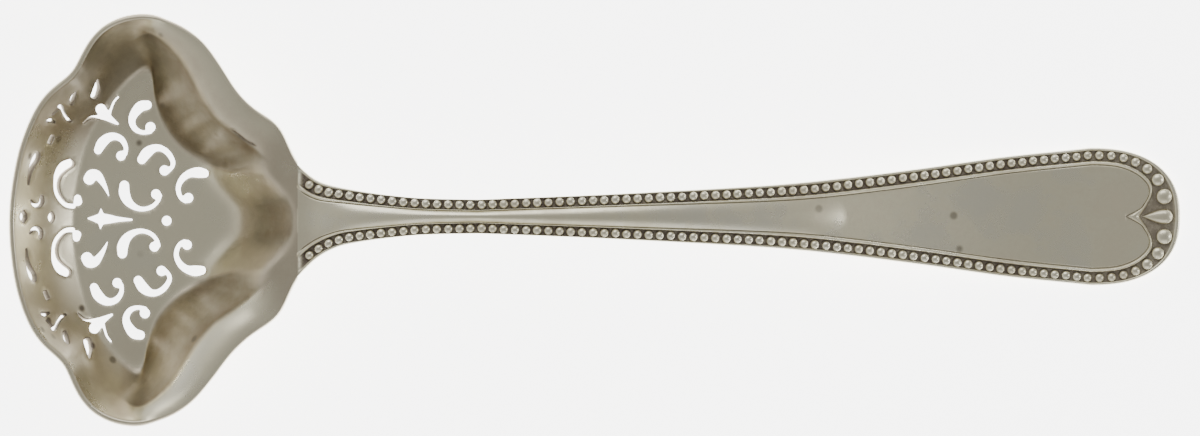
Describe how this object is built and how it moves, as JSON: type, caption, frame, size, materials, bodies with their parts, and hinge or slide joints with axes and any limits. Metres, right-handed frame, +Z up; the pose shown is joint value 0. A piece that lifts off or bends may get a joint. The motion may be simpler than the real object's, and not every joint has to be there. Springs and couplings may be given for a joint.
{
  "type": "sugar sifter spoon",
  "caption": "Pierced sifter spoon: a broad flat-bottomed bowl with a lobed rim and scroll piercing, on a curved handle with beaded edges.",
  "frame": {"origin": "centre of the spoon's outline in plan, at the height of the surface it lies on", "axes": "+X from the bowl to the tip of the handle, +Y across the spoon, +Z up with the bowl's inside facing up"},
  "size_m": [0.1607, 0.0564, 0.0157],
  "materials": {
    "bowl": "silver, worn polish with tarnish in the hollows",
    "handle": "silver, soft satin with dark grime between the beads",
    "neck_solder": "hard silver solder, dull"
  },
  "bodies": {
    "root": {"bowl": "bowl", "handle": "handle", "neck_solder": "neck_solder"}
  },
  "joints": []
}
